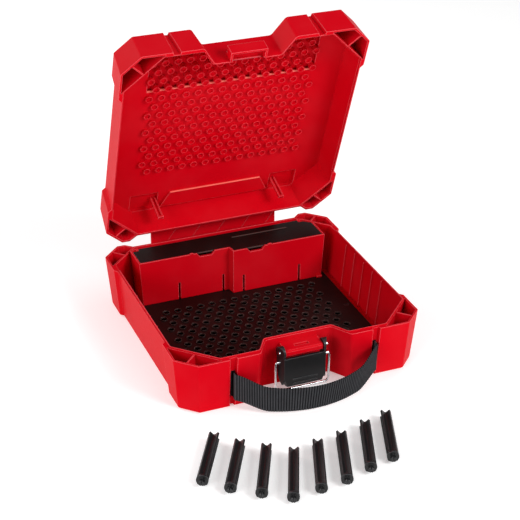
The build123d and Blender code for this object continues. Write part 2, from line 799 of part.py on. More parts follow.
def parts_bin():
    """Open-topped bin with a divider, a ledge for its cover and slots up its front."""
    thick = bin_wall + cover_ledge
    body = lofted(section(bin_plan(0, bin_bottom), bin_bottom), section(bin_plan(0, bin_top), bin_top))
    floor_z = bin_bottom + bin_wall
    ledge_z = cover_top - cover_thickness - 0.1
    lower = lofted(section(bin_plan(thick, floor_z), floor_z), section(bin_plan(thick, ledge_z), ledge_z))
    upper = lofted(section(bin_plan(bin_wall, ledge_z), ledge_z),
                   section(bin_plan(bin_wall, bin_top), bin_top))
    lower -= block(-bin_wall / 2, bin_wall / 2, 0, half_d, 0, ledge_z - 4)
    body -= lower
    body -= upper
    body -= barrel_room()
    for x in bin_slots_x:
        body -= bin_slot(x)
    for side, front in ((-1, bin_left_y), (1, bin_right_y)):
        body -= bin_notch(side * notch_x)
        half = hump_width / 2
        body += side_block(side, hump_x - half, hump_x + half, front, front + bin_wall,
                           bin_top - 1, bin_top + hump_height)
    right = half_w - bin_right_short - bin_end_draft
    body += block(right - foot_width, right, bin_right_y - foot_width / 2, bin_right_y + 1,
                  bin_bottom, bin_bottom + foot_height)
    body += bin_ears()
    reach = cover_half + cover_ear_gap + cover_ear_width
    return body - rod_x(-reach, reach, cover_axis_y, cover_axis_z, cover_rod_radius + seat)


def bin_cover():
    """Flat cover that drops inside the bin's rim and turns on a rod along its back edge."""
    bottom = cover_top - cover_thickness
    plan = bin_plan(bin_wall + cover_fit, bottom, cover_corner_swing)
    plate = extrude(section(plan, bottom), cover_thickness)
    plate -= block(-half_w, half_w, cover_axis_y, half_d, 0, 2 * base_height)
    for side in (-1, 1):
        plate -= side_block(side, cover_half, half_w, cover_axis_y - 5, half_d, 0, 2 * base_height)
    plate += rod_x(-cover_half, cover_half, cover_axis_y, cover_axis_z, cover_barrel_radius)
    plate -= rod_x(-cover_half - 1, cover_half + 1, cover_axis_y, cover_axis_z, cover_rod_radius + running)
    line_y = cover_axis_y - cover_line_ahead
    plate += block(cover_line_start, cover_line_end, line_y, line_y + 1.2, cover_top - 0.5, cover_top + 0.6)
    return plate


def bin_cover_rod():
    reach = cover_half + cover_ear_gap + cover_ear_width
    return rod_x(-reach, reach, cover_axis_y, cover_axis_z, cover_rod_radius)


def latch_lever():
    """Lever with two round-topped arms, a bevelled face plate and two finger ridges."""
    face_y = lever_pivot_y - arm_radius
    profile = [(face_y + 1.5, lever_pivot_z), (face_y + 1.5, lever_bottom + 6),
               (face_y + 4, lever_bottom + 2), (lever_pivot_y - 1, lever_bottom + 8),
               (lever_pivot_y + 5.5, bail_pivot_z - 8), (lever_pivot_y + 6.5, lever_pivot_z - 5)]
    arms = []
    for side in (-1, 1):
        x0, x1 = sorted((side * arm_inner, side * arm_outer))
        arms.append(facing_side(profile, x0, x1) + rod_x(x0, x1, lever_pivot_y, lever_pivot_z, arm_radius))
    edge = arm_outer - lever_bevel
    shoulder = face_y + lever_bevel_depth
    front = arm_outer - lever_bevel * (1 - lever_plate / lever_bevel_depth)
    plan = [(-front, face_y + lever_plate), (-edge, face_y), (edge, face_y), (front, face_y + lever_plate)]
    foot = [(x * lever_taper, y) for x, y in plan]
    plate = lofted(section(foot, lever_bottom), section(plan, lever_bottom + 12),
                   section(plan, lever_plate_top))
    back = lever_pivot_y + arm_radius + 1
    sides = mirrored([(edge, face_y), (arm_outer, shoulder), (arm_outer, back)])
    within = extrude(section(sides, lever_bottom), lever_pivot_z + arm_radius + 1 - lever_bottom)
    lever = (plate + arms) & within
    for z in (lever_bottom + 3, lever_bottom + 9):
        lever += block(-finger_ridge_half, finger_ridge_half, face_y - 0.8, face_y + 1, z, z + 1.6)
    reach = arm_outer + 1
    lever -= rod_x(-reach, reach, lever_pivot_y, lever_pivot_z, pin_radius + running)
    for side in (-1, 1):
        x0, x1 = sorted((side * (bail_half - wire_radius - bail_stub - 0.5), side * reach))
        lever -= rod_x(x0, x1, bail_pivot_y, bail_pivot_z, wire_radius + running)
    return lever


def latch_pin():
    return rod_x(-arm_outer, arm_outer, lever_pivot_y, lever_pivot_z, pin_radius)


def latch_bail():
    """One bent wire: two legs, a cross bar, and ends that turn in to the lever."""
    end = bail_half - wire_radius - bail_stub
    low = bail_pivot_z - bail_length
    points = [(-end, bail_pivot_z), (-bail_half, bail_pivot_z), (-bail_half, low),
              (bail_half, low), (bail_half, bail_pivot_z), (end, bail_pivot_z)]
    radii = [bail_end_bend, bail_bend, bail_bend, bail_end_bend]
    path = FilletPolyline(*[(x, bail_pivot_y, z) for x, z in points], radius=radii)
    start = Plane(path @ 0, z_dir=path % 0)
    return sweep(start * Circle(wire_radius), path=path)


def strap_eye():
    """Plan centre of the sewn eye behind a slot, just clear of the leaning wall."""
    wall_y = front_y + base_draft_at(slot_bottom)
    return slot_x, wall_y + strap_bar_radius + strap_thickness + 2 * fit


def strap_stations():
    """Centre line of the webbing: plan point and height, from one eye to the other."""
    slot_x, inside = strap_eye()
    slot_z = slot_bottom + slot_height / 2
    rest_z = strap_rest + strap_width / 2
    start_y = -half_d + 1.0
    right = []
    for i in range(1, 8):
        x = slot_x * sin(radians(90 * i / 7))
        bulge = strap_reach * (1 - (x / (slot_x + 4)) ** 2)
        blend = max(0.0, (x / slot_x - 0.62) / 0.38)
        right.append((x, start_y - bulge, rest_z + (slot_z - rest_z) * blend))
    right.append((slot_x, inside - strap_bar_radius - fit, slot_z))
    middle = [(0.0, start_y - strap_reach, rest_z)]
    return [(-x, y, z) for x, y, z in reversed(right)] + middle + right


def carry_strap():
    """Webbing band: out of one slot, bowed in front, back through the other, an eye at each end."""
    stations = strap_stations()
    faces = []
    for i, (x, y, z) in enumerate(stations):
        before = stations[max(i - 1, 0)]
        after = stations[min(i + 1, len(stations) - 1)]
        angle = degrees(atan2(after[1] - before[1], after[0] - before[0]))
        plane = Plane(Location((x, y, z), (0, 0, angle)))
        upright = Plane(plane.origin, x_dir=plane.y_dir, z_dir=plane.x_dir)
        faces.append(upright * Rectangle(strap_thickness, strap_width))
    band = lofted(*faces)
    for side in (-1, 1):
        place = Pos(side * stations[-1][0], strap_eye()[1], stations[-1][2])
        band += place * Cylinder(strap_bar_radius + fit + strap_thickness, strap_width)
        band -= place * Cylinder(strap_bar_radius + fit, strap_width + 2)
    return band


def strap_bar(side):
    """Retaining bar in the sewn end eye of the webbing."""
    x, y = strap_eye()
    return Pos(side * x, y, slot_bottom + slot_height / 2) * Cylinder(strap_bar_radius, strap_bar_length)


def peg():
    """Peg lying along -Y from its far end: four fins in a cross, a collar and a split plug."""
    half = peg_fin_width / 2
    root = half + peg_fin_root
    quarter = [(half, peg_fin_reach), (half, root), (root, half), (peg_fin_reach, half)]
    outline = []
    for c, s in [(1, 0), (0, -1), (-1, 0), (0, 1)]:
        outline += [(x * c - y * s, x * s + y * c) for x, y in quarter]
    body_length = peg_length - peg_plug_length
    body = Rot(0, 45, 0) * extrude(Plane.XZ * make_face(Polyline(*outline, close=True)), body_length)
    body += rod_y(0, -body_length, -body_length + peg_collar_length, 0, peg_collar_radius)
    plug = rod_y(0, -peg_length, 0.1 - body_length, 0, peg_plug_radius)
    plug -= block(-0.7, 0.7, -peg_length - 1, -body_length - 0.5, -10, 10)
    return body + plug


def main():
    os.makedirs("parts", exist_ok=True)
    nodes = {
        "base_shell": base_shell(),
        "lid_shell": turned_open(lid_shell()),
        "hinge_plate": hinge_plate(),
        "hinge_rod": hinge_rod(),
        "hinge_screws": hinge_screws(),
        "peg_board": peg_board(),
        "peg_board_screws": peg_board_screws(),
        "parts_bin": parts_bin(),
        "bin_cover": bin_cover(),
        "bin_cover_rod": bin_cover_rod(),
        "latch_lever": latch_lever(),
        "latch_pin": latch_pin(),
        "latch_bail": latch_bail(),
        "carry_strap": carry_strap(),
        "strap_bar_left": strap_bar(-1),
        "strap_bar_right": strap_bar(1),
    }
    for number, (x, y, turn) in enumerate(peg_places, 1):
        nodes[f"peg_{number}"] = Pos(x, y, peg_collar_radius + 0.05) * Rot(0, 0, turn) * peg()
    for name, shape in nodes.items():
        export_step(shape, f"parts/{name}.step")


main()
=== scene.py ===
import json
from math import cos, pi, radians, sin

import bpy
from mathutils import Matrix, Vector


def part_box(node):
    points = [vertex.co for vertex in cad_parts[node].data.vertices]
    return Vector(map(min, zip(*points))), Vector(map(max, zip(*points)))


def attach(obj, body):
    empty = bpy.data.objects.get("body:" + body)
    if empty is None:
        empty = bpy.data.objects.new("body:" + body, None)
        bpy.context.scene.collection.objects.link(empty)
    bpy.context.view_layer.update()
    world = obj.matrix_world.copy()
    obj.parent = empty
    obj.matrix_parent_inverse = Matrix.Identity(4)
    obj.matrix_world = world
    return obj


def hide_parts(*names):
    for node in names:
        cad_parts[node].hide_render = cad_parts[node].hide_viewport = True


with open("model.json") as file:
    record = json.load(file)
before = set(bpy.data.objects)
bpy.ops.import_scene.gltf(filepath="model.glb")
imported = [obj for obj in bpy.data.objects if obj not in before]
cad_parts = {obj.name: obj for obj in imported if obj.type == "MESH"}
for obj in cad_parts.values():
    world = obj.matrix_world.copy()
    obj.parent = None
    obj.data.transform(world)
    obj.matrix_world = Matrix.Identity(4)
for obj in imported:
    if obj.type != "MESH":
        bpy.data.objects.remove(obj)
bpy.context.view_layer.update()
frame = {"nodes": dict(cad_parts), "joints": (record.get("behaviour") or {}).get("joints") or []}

# ---------------------------------------------------------------------------------------------
# Base shell. A deep tray injection-moulded in glossy red polypropylene. Its walls lean in to the
# floor, its corners carry bumpers, and the mould left a fine grain and softly rounded edges.
# ---------------------------------------------------------------------------------------------


class Wire:
    """An output socket of a material. Sums written on it add Math nodes; node() adds any other."""

    def __init__(self, tree, socket=None):
        self.tree = tree
        self.socket = socket

    def join(self, target, value):
        if isinstance(value, Wire):
            self.tree.links.new(value.socket, target)
        else:
            target.default_value = value

    def node(self, kind, settings=(), inputs=(), output=0):
        """Adds a node: its settings first, then the value or link of each input."""
        made = self.tree.nodes.new(kind)
        for name, value in dict(settings).items():
            setattr(made, name, value)
        for name, value in dict(inputs).items():
            self.join(made.inputs[name], value)
        return Wire(self.tree, made.outputs[output])

    def sum(self, operation, first, second):
        return self.node("ShaderNodeMath", {"operation": operation}, {0: first, 1: second})

    def __add__(self, other):
        return self.sum("ADD", self, other)

    def __radd__(self, other):
        return self.sum("ADD", other, self)

    def __rsub__(self, other):
        return self.sum("SUBTRACT", other, self)

    def __mul__(self, other):
        return self.sum("MULTIPLY", self, other)

    def steps(self, low, high):
        """0 below low, 1 above high, smooth between."""
        ends = {"Value": self, "From Min": low, "From Max": high}
        return self.node("ShaderNodeMapRange", {"interpolation_type": "SMOOTHSTEP"}, ends)

    def noise(self, scale, detail):
        """Noise over the surface that this vector places."""
        inputs = {"Vector": self, "Scale": scale, "Detail": detail}
        return self.node("ShaderNodeTexNoise", inputs=inputs)

    def tint(self, dull, bright):
        """A colour between two, by this value."""
        return self.node("ShaderNodeMix", {"data_type": "RGBA"}, {0: self, 6: dull, 7: bright}, 2)


def new_finish(name, **constants):
    """A material with its shader's fixed values set: returns it, its first wire and the shader."""
    material = bpy.data.materials.new(name)
    material.use_nodes = True
    shader = material.node_tree.nodes["Principled BSDF"]
    for socket, value in constants.items():
        shader.inputs[socket.replace("_", " ")].default_value = value
    return material, Wire(material.node_tree), shader


plastic_ior = 1.48
cloud_scale = 16.0
scuff_scale = 210.0
edge_turn = (0.01, 0.22)     # painted highlight on an edge whose rounding turns the surface this far
edge_air = (0.80, 0.97)      # and only with this much open air in front of it
edge_reach = 0.004
edge_highlight_share = 0.85
cloud_paleness = 0.03
cloud_gloss = 0.08
scuff_gloss = 0.06
scuff_height = 0.6           # against the grain's


def moulded_plastic(name, dull, bright, gloss, shine, edge_radius, grain_size, grain_depth):
    """Moulded plastic: cloudy tone, painted highlights on outer edges, fine grain, a little uneven
    gloss.
    """
    material, start, shader = new_finish(name, IOR=plastic_ior, Specular_IOR_Level=shine)
    place = start.node("ShaderNodeTexCoord", output="Object")
    cloud = place.noise(cloud_scale, 4.0)
    scuffs = place.noise(scuff_scale, 5.0)
    grain = place.noise(1 / grain_size, 1.0)
    rounded = start.node("ShaderNodeBevel", {"samples": 6}, {"Radius": edge_radius})
    flat = start.node("ShaderNodeNewGeometry", output="Normal")
    normals = {0: rounded, 1: flat}
    turned = start.node("ShaderNodeVectorMath", {"operation": "DOT_PRODUCT"}, normals, "Value")
    reach = {"Distance": edge_reach}
    air = start.node("ShaderNodeAmbientOcclusion", {"samples": 4}, reach, "AO")
    # painted highlight: convex edges are tinted towards the bright colour, which is also the pale
    # end of the cloudy tone
    edge_highlight = (1 - turned).steps(*edge_turn) * air.steps(*edge_air)
    highlight_and_cloud = edge_highlight * edge_highlight_share + cloud.steps(0.35, 0.75) * cloud_paleness
    start.join(shader.inputs["Base Color"], highlight_and_cloud.tint(dull, bright))
    uneven = gloss + cloud * cloud_gloss + scuffs.steps(0.5, 0.75) * scuff_gloss
    start.join(shader.inputs["Roughness"], uneven)
    height = grain + scuffs * scuff_height
    bump = {"Strength": 1.0, "Distance": grain_depth, "Height": height, "Normal": rounded}
    start.join(shader.inputs["Normal"], start.node("ShaderNodeBump", inputs=bump))
    return material


def finish_nodes(material, *names):
    """Gives CAD nodes a material."""
    for name in names:
        materials = frame["nodes"][name].data.materials
        materials.clear()
        materials.append(material)


red_dull = (0.60, 0.0012, 0.008, 1.0)
# painted highlight: the pale red that edges are tinted to, also the pale end of the cloudy tone
red_highlight_and_cloud = (1.0, 0.17, 0.20, 1.0)
red_gloss = 0.30
red_shine = 0.012
red_edge = 0.0016
red_grain = (0.0006, 0.00003)            # its size and its depth
red_plastic = moulded_plastic("red_plastic", red_dull, red_highlight_and_cloud,
                              red_gloss, red_shine, red_edge, *red_grain)
finish_nodes(red_plastic, "base_shell")

# ---------------------------------------------------------------------------------------------
# Lid shell. The same plastic, moulded as a shallow tray with pockets behind its corners. Its
# floor carries a round boss over every socket of the peg board, each with a blind bore.
# ---------------------------------------------------------------------------------------------
lid_hinge = next(joint for joint in frame["joints"] if joint["name"] == "lid_hinge")
lid_turn = -radians(lid_hinge["range_deg"][1])
lid_pivot = Vector(lid_hinge["pos_m"])
to_pivot = Matrix.Translation(-lid_pivot)
lid_opening = Matrix.Translation(lid_pivot) @ Matrix.Rotation(lid_turn, 4, "X") @ to_pivot
lid_rim = 0.0743
pad_depth = 0.0369
pad_top = lid_rim + pad_depth

grid_columns = 14
grid_rows = 14
grid_pitch_x = 0.0170
grid_pitch_y = 0.0149
grid_first_y = -0.1214
grid_stagger = 0.00425

boss_sides = 16
boss_outer = 0.0050
boss_bore = 0.0039
boss_bore_depth = 0.0021
boss_stand = 0.0022          # how far a ring stands out of its pad
boss_sink = 0.0016           # how deep it is sunk in it
boss_smooth = radians(40)

front_band_half = 0.1175     # the deep band at the front of the lid's floor
front_band_y = -0.0715
middle_floor = 0.0384        # depths below the rim
rear_block_half = 0.0675     # the raised block at its back
rear_block_y = 0.121
rear_block_floor = 0.0344
front_edge_width = 0.0020
rear_edge_width = 0.0010
edge_height = 0.0022
edge_proud = 0.0003
facing = 0.9                 # a face looks along an axis when its normal has this share of it

finish_nodes(red_plastic, "lid_shell")


def grid_points():
    """Centres of the staggered grid that board and lid share."""
    points = []
    for row in range(grid_rows):
        shift = grid_stagger if row % 2 else -grid_stagger
        for column in range(grid_columns):
            x = (column - (grid_columns - 1) / 2) * grid_pitch_x + shift
            points.append((x, grid_first_y + row * grid_pitch_y))
    return points


def deselect_all():
    if bpy.context.mode != "OBJECT":
        bpy.ops.object.mode_set(mode="OBJECT")
    bpy.ops.object.select_all(action="DESELECT")


def edit_faces(piece, wanted):
    """Opens a piece for editing with only the wanted faces selected."""
    bpy.ops.object.mode_set(mode="OBJECT")
    for item in (*piece.data.vertices, *piece.data.edges):
        item.select = False
    for face in piece.data.polygons:
        face.select = wanted(face)
    bpy.ops.object.mode_set(mode="EDIT")
    bpy.ops.mesh.select_mode(type="FACE")


def settle(piece, name, finish):
    """Names a piece, gives it its finish and puts its place in its mesh."""
    deselect_all()
    piece.select_set(True)
    bpy.context.view_layer.objects.active = piece
    bpy.ops.object.transform_apply(location=True, rotation=True, scale=True)
    piece.name = name
    piece.data.materials.clear()
    piece.data.materials.append(finish)
    return piece


def lid_boss():
    """One ring: a short stub with a blind bore, pointing down as it does in the closed lid."""
    deselect_all()
    height = boss_stand + boss_sink
    bpy.ops.mesh.primitive_cylinder_add(vertices=boss_sides, radius=boss_outer, depth=height,
                                        location=(0, 0, 0))
    boss = bpy.context.object
    edit_faces(boss, lambda face: face.normal.z < -facing)
    bpy.ops.mesh.inset(thickness=boss_outer - boss_bore)
    bpy.ops.mesh.extrude_region_move(TRANSFORM_OT_translate={"value": (0, 0, boss_bore_depth)})
    bpy.ops.object.mode_set(mode="OBJECT")
    return boss


def spread(piece, places):
    """Copies a piece to each place, each copy with its own mesh, and joins them all."""
    copies = []
    for place in places:
        copy = piece.copy()
        copy.data = piece.data.copy()
        copy.location = place
        bpy.context.collection.objects.link(copy)
        copies.append(copy)
    bpy.data.objects.remove(piece)
    deselect_all()
    for copy in copies:
        copy.select_set(True)
    bpy.context.view_layer.objects.active = copies[0]
    bpy.ops.object.join()
    return copies[0]


def highlight_strip(name, place, size, radius, finish):
    """Narrow bar with rounded edges, painted pale as a highlight along an edge."""
    deselect_all()
    bpy.ops.mesh.primitive_cube_add(size=1, location=place, scale=size)
    strip = settle(bpy.context.object, name, finish)
    round_over = strip.modifiers.new("round_over", "BEVEL")
    round_over.width = radius
    round_over.segments = 2
    bpy.ops.object.modifier_apply(modifier=round_over.name)
    return strip


def floor_edge(name, half_length, width, y, z):
    """Ridge painted pale as a highlight along the edge of a step in the closed lid's floor."""
    place = (0, y, z + edge_height / 2 - edge_proud)
    return highlight_strip(name, place, (2 * half_length, width, edge_height), edge_proud, highlight_red)


def in_open_lid(piece):
    """Turns a piece made in the closed lid to where the open lid stands."""
    piece.data.transform(lid_opening)
    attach(piece, "lid")


# painted highlight: the pale red that the rings' edges are tinted to, also the pale end of their
# cloudy tone
boss_highlight_and_cloud = (1.0, 0.11, 0.14, 1.0)
boss_edge = 0.0009
boss_plastic = moulded_plastic("boss_plastic", red_dull, boss_highlight_and_cloud,
                               red_gloss, red_shine, boss_edge, *red_grain)
boss_z = pad_top - boss_stand + (boss_stand + boss_sink) / 2
bosses = spread(lid_boss(), [(x, y, boss_z) for x, y in grid_points()])
settle(bosses, "lid_bosses", boss_plastic)
bpy.ops.object.shade_smooth_by_angle(angle=boss_smooth)
in_open_lid(bosses)

# painted highlight: a pale pink red for the ridges along the steps of the lid's floor
highlight_red_tone = (0.90, 0.17, 0.13, 1.0)
highlight_red_paler = (1.0, 0.34, 0.28, 1.0)
highlight_red_gloss = 0.34
highlight_red_shine = 0.20
highlight_red_edge = 0.0004
highlight_red = moulded_plastic("highlight_red", highlight_red_tone, highlight_red_paler,
                             highlight_red_gloss, highlight_red_shine, highlight_red_edge, *red_grain)
front_edge_y = front_band_y - front_edge_width / 2
in_open_lid(floor_edge("front_band_edge", front_band_half, front_edge_width, front_edge_y,
                       lid_rim + middle_floor))
in_open_lid(floor_edge("rear_block_edge", rear_block_half, rear_edge_width, rear_block_y,
                       lid_rim + rear_block_floor))

# ---------------------------------------------------------------------------------------------
# Hinge. A ridged leaf of the same red plastic, a bright steel rod through its knuckles and the
# lid's, and four zinc-plated pan-head screws.
# ---------------------------------------------------------------------------------------------
plating_cloud_scale = 260.0
plating_grain_scale = 2400.0
plating_dark = 0.72          # the dull spots' share of the plating's tone
plating_cloud_gloss = 0.16
plating_grain_depth = 0.000005


def plated_steel(name, tone, gloss):
    """Zinc-plated steel: cloudy tone and gloss, and a very fine roughness."""
    material, start, shader = new_finish(name, Metallic=1.0)
    place = start.node("ShaderNodeTexCoord", output="Object")
    cloud = place.noise(plating_cloud_scale, 5.0)
    grain = place.noise(plating_grain_scale, 2.0)
    dark = tuple(channel * plating_dark for channel in tone[:3]) + (1.0,)
    start.join(shader.inputs["Base Color"], cloud.steps(0.3, 0.7).tint(dark, tone))
    start.join(shader.inputs["Roughness"], gloss + cloud * plating_cloud_gloss)
    bump = {"Strength": 0.5, "Distance": plating_grain_depth, "Height": grain}
    start.join(shader.inputs["Normal"], start.node("ShaderNodeBump", inputs=bump))
    return material


bright_tone = (0.86, 0.86, 0.88, 1.0)
bright_gloss = 0.14
bright_steel = plated_steel("bright_steel", bright_tone, bright_gloss)
finish_nodes(red_plastic, "hinge_plate")
finish_nodes(bright_steel, "hinge_rod", "hinge_screws")

# ---------------------------------------------------------------------------------------------
# Peg board. A black moulded board on short posts, held by six sunk screws. It has a round socket
# with a raised collar at every grid point, and a black sheet under the sockets is painted shade.
# ---------------------------------------------------------------------------------------------
board_low, board_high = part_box("peg_board")
board_corner = 0.0347        # leg of the cut at each front corner
board_rear_corner = 0.0262
board_notch_mouth = 0.06609
board_notch_end = 0.05159
board_notch_y = -0.13008
board_notch_height = 0.02
board_skin = 0.0010          # the board is thin over the relief round each socket
relief_radius = 0.0061
screw_places = [(-0.137, 0.002), (0.137, 0.002), (-0.1, -0.134),
                (0.1, -0.134), (-0.1, 0.126), (0.1, 0.126)]
screw_sink_radius = 0.0033
screw_sink = 0.0018
drill_clear = 0.01           # how far a cutter stands out of what it cuts
socket_radius = 0.0046
socket_sides = 16
socket_smooth = radians(35)
shade_sheet_place = (0, -0.0245, 0.0034)
shade_sheet_size = (0.248, 0.209, 0.0004)
collar_radius = 0.0056
collar_rise = 0.0012
collar_taper = 0.92          # its top's share of its foot

black_dull = (0.0100, 0.0036, 0.0034, 1.0)
# painted highlight: the grey that black edges are tinted to, also the pale end of the cloudy tone
black_highlight_and_cloud = (0.23, 0.14, 0.13, 1.0)
black_gloss = 0.36
black_shine = 0.12
black_edge = 0.0009
black_grain = (0.0005, 0.00004)
black_plastic = moulded_plastic("black_plastic", black_dull, black_highlight_and_cloud,
                                black_gloss, black_shine, black_edge, *black_grain)
# painted shade: a near-black finish for the sheet under the sockets, so they look dark inside
shade_sheet_dull = (0.0004, 0.0004, 0.0004, 1.0)
shade_sheet_paler = (0.0015, 0.0015, 0.0015, 1.0)
shade_sheet_gloss = 0.80
shade_sheet_shine = 0.0
shade_sheet_edge = 0.0006
shade_sheet_grain = (0.0004, 0.00005)
shade_sheet_black = moulded_plastic("shade_sheet_black", shade_sheet_dull, shade_sheet_paler,
                             shade_sheet_gloss, shade_sheet_shine, shade_sheet_edge, *shade_sheet_grain)
screw_tone = (0.05, 0.05, 0.052, 1.0)
screw_gloss = 0.4
black_steel = plated_steel("black_steel", screw_tone, screw_gloss)


def cut_with(piece, cutter):
    """Takes one piece out of another and throws the cutter away."""
    deselect_all()
    bpy.context.view_layer.objects.active = piece
    cut = piece.modifiers.new("cut", "BOOLEAN")
    cut.object = cutter
    cut.operation = "DIFFERENCE"
    cut.solver = "EXACT"
    bpy.ops.object.modifier_apply(modifier=cut.name)
    bpy.data.objects.remove(cutter)


def cut_corner(piece, point, outward):
    """Cuts off what lies beyond a plane and closes the cut."""
    edit_faces(piece, lambda face: True)
    bpy.ops.mesh.bisect(plane_co=point, plane_no=outward, use_fill=True, clear_outer=True)
    bpy.ops.object.mode_set(mode="OBJECT")


def drills(radius, places, low, high):
    """One round cutter at each place, between two heights."""
    deselect_all()
    bpy.ops.mesh.primitive_cylinder_add(vertices=socket_sides, radius=radius, depth=high - low,
                                        location=(0, 0, 0))
    return spread(bpy.context.object, [(x, y, (low + high) / 2) for x, y in places])


def round_holed_board():
    """The board: a plate with cut corners, a notch in front and round holes."""
    deselect_all()
    bpy.ops.mesh.primitive_cube_add(size=1, location=(board_low + board_high) / 2,
                                    scale=board_high - board_low)
    board = bpy.context.object
    bpy.ops.object.transform_apply(location=True, rotation=True, scale=True)
    for side in (-1, 1):
        x = side * board_high.x
        cut_corner(board, (x - side * board_corner, board_low.y, 0), (side, -1, 0))
        cut_corner(board, (x - side * board_rear_corner, board_high.y, 0), (side, 1, 0))
    depth = board_notch_y - board_low.y
    bpy.ops.mesh.primitive_cube_add(size=1, location=(0, board_low.y, board_high.z))
    notch = bpy.context.object
    notch.scale = (2 * board_notch_mouth, 2 * depth, board_notch_height)
    bpy.ops.object.transform_apply(location=True, rotation=True, scale=True)
    edit_faces(notch, lambda face: face.normal.y > facing)
    narrowing = board_notch_end / board_notch_mouth
    bpy.ops.transform.resize(value=(narrowing, 1, 1))
    edit_faces(notch, lambda face: face.normal.y < -facing)
    bpy.ops.transform.resize(value=(2 - narrowing, 1, 1))
    bpy.ops.object.mode_set(mode="OBJECT")
    cut_with(board, notch)
    above = board_high.z + drill_clear
    relief_top = board_high.z - board_skin
    cut_with(board, drills(relief_radius, grid_points(), board_low.z - drill_clear, relief_top))
    cut_with(board, drills(socket_radius, grid_points(), board_low.z, above))
    cut_with(board, drills(screw_sink_radius, screw_places, board_high.z - screw_sink, above))
    return board


def socket_collar():
    """Raised lip round one socket: a ring with a sloping outside."""
    deselect_all()
    bpy.ops.mesh.primitive_cylinder_add(vertices=socket_sides, radius=collar_radius,
                                        depth=collar_rise, location=(0, 0, 0))
    collar = bpy.context.object
    edit_faces(collar, lambda face: face.normal.z > facing)
    bpy.ops.transform.resize(value=(collar_taper, collar_taper, 1))
    bpy.ops.object.mode_set(mode="OBJECT")
    cut_with(collar, drills(socket_radius, [(0, 0)], -collar_rise, collar_rise))
    return collar


collar_z = board_high.z + collar_rise / 2
collars = spread(socket_collar(), [(x, y, collar_z) for x, y in grid_points()])
settle(collars, "socket_collars", black_plastic)
bpy.ops.object.shade_smooth_by_angle(angle=socket_smooth)
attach(collars, "base")

# painted shade: a black sheet under the board that darkens the sockets
deselect_all()
bpy.ops.mesh.primitive_cube_add(size=1, location=shade_sheet_place, scale=shade_sheet_size)
shade_sheet = settle(bpy.context.object, "socket_shade_sheet", shade_sheet_black)
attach(shade_sheet, "base")

board = settle(round_holed_board(), "socket_board", black_plastic)
bpy.ops.object.shade_smooth_by_angle(angle=socket_smooth)
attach(board, "base")
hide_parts("peg_board")
finish_nodes(black_steel, "peg_board_screws")

# ---------------------------------------------------------------------------------------------
# Parts bin. A red open bin that stands behind the board and lifts out, with a flat black cover
# that turns on a steel rod inside its rim. Its line and front edges have a painted grey highlight.
# ---------------------------------------------------------------------------------------------
cover_top = 0.0766
cover_thickness = 0.0020
cover_line = (0.0140, 0.0985)            # a raised line on the right half of the cover
cover_line_size = (0.0012, 0.0006)       # its width and height
cover_line_y = 0.1300
thumb_notch_x = 0.0355
thumb_notch_width = 0.0230
cover_fronts = {"cover_lip_left": (-1, 0.1048), "cover_lip_right": (1, 0.0928)}
lip_proud = 0.0002

finish_nodes(red_plastic, "parts_bin")
finish_nodes(black_plastic, "bin_cover")
finish_nodes(bright_steel, "bin_cover_rod")


def on_cover(piece):
    """Fixes a piece to the bin's cover."""
    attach(piece, "cover")


# painted highlight: a grey for strips over the cover's raised line and its front edges in the thumb
# notches
highlight_black_tone = (0.085, 0.047, 0.043, 1.0)
highlight_black_paler = (0.23, 0.16, 0.15, 1.0)
highlight_black_grain = (0.0005, 0.00002)
highlight_black = moulded_plastic("highlight_black", highlight_black_tone, highlight_black_paler,
                             black_gloss, black_shine, lip_proud, *highlight_black_grain)
line_width, line_height = cover_line_size
line_place = (sum(cover_line) / 2, cover_line_y, cover_top + line_height / 2)
line_size = (cover_line[1] - cover_line[0], line_width, line_height)
line_size = tuple(side + 2 * lip_proud for side in line_size)
on_cover(highlight_strip("cover_line", line_place, line_size, lip_proud, highlight_black))
lip_size = (thumb_notch_width, cover_thickness / 2 + 2 * lip_proud, cover_thickness - 2 * lip_proud)
for lip_name, (side, front) in cover_fronts.items():
    lip_place = (side * thumb_notch_x, front + cover_thickness / 4, cover_top - cover_thickness / 2)
    on_cover(highlight_strip(lip_name, lip_place, lip_size, lip_proud, highlight_black))

# ---------------------------------------------------------------------------------------------
# Latch. A black nylon lever turns on a steel pin in the bracket of the base. It pulls one bent
# wire of bright steel over the lid's keeper.
# ---------------------------------------------------------------------------------------------
nylon_dull = (0.0050, 0.0050, 0.0056, 1.0)
# painted highlight: the grey that nylon edges are tinted to, also the pale end of the cloudy tone
nylon_highlight_and_cloud = (0.12, 0.12, 0.13, 1.0)
nylon_gloss = 0.33
nylon_shine = 0.40
nylon_edge = 0.0009
nylon_grain = (0.0005, 0.00003)
black_nylon = moulded_plastic("black_nylon", nylon_dull, nylon_highlight_and_cloud,
                              nylon_gloss, nylon_shine, nylon_edge, *nylon_grain)
finish_nodes(black_nylon, "latch_lever")
finish_nodes(bright_steel, "latch_pin", "latch_bail")

# ---------------------------------------------------------------------------------------------
# Carry strap. Woven polypropylene webbing with a crosswise rib, bowed out of one slot and back
# through the other, each end sewn into an eye round a plastic bar behind the wall.
# ---------------------------------------------------------------------------------------------
strap_width = 0.038
strap_thickness = 0.0013
strap_front = -0.168
strap_reach = 0.044
strap_flare = 0.004           # the bow would meet the wall this far outside the slots
strap_rest = 0.0225
strap_level = 0.62            # share of the half-span that hangs level
strap_rising = 0.38           # share that rises to the slot
strap_lean = radians(11)      # the slack middle leans outward at the top
slot_x = 0.0975
slot_z = 0.034
eye_y = -0.15187
eye_radius = 0.0032
rib_pitch = 0.0034
rib_height = 0.0008
strap_stations = 640
strap_slot_steps = 6
eye_stations = 24
strap_rows = 6
strap_smooth = radians(50)
strap_shine = 0.05
strap_gloss = 0.72
fuzz_scale = 900.0
dust_scale = 60.0
thread_scale = 330.0
thread_depth = 0.00012


